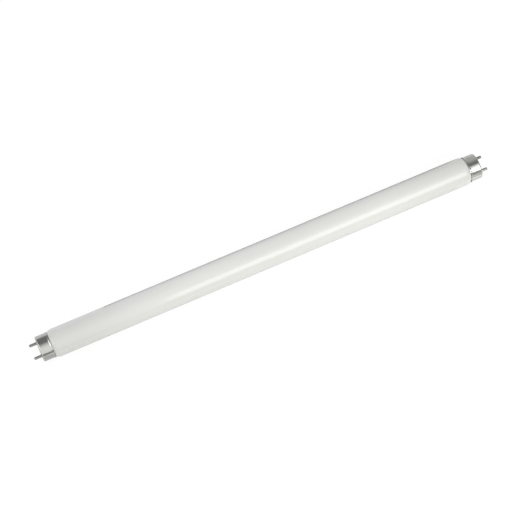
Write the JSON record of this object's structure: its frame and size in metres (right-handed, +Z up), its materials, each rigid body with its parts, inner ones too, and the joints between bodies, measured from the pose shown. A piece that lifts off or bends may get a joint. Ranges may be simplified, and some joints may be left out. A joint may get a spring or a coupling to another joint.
{
  "type": "fluorescent tube",
  "caption": "Straight fluorescent lamp: a sealed white-coated glass tube with a metal pin cap on each end.",
  "frame": {"origin": "centre of the lamp on the tube's axis", "axes": "+X along the tube from the left cap to the right cap, the pins of each cap side by side along Y, +Z up"},
  "size_m": [0.4516, 0.0264, 0.0264],
  "materials": {
    "coated_glass": "clear glass, made opaque by a matt white coating on its inner face",
    "cap_aluminium": "drawn sheet, bright with fine drawing lines",
    "insulating_plastic": "moulded, matt off-white",
    "pin_metal": "brass with a thin dull nickel plate",
    "lead_wire": "drawn nickel-plated wire",
    "cement": "hard-baked capping cement, matt tan"
  },
  "bodies": {
    "root": {"glass_tube": "coated_glass", "left_cap_shell": "cap_aluminium", "left_insulating_plate": "insulating_plastic", "left_cement_ring": "cement", "left_front_pin": "pin_metal", "left_front_lead_wire": "lead_wire", "left_rear_pin": "pin_metal", "left_rear_lead_wire": "lead_wire", "right_cap_shell": "cap_aluminium", "right_insulating_plate": "insulating_plastic", "right_cement_ring": "cement", "right_front_pin": "pin_metal", "right_front_lead_wire": "lead_wire", "right_rear_pin": "pin_metal", "right_rear_lead_wire": "lead_wire"}
  },
  "joints": []
}
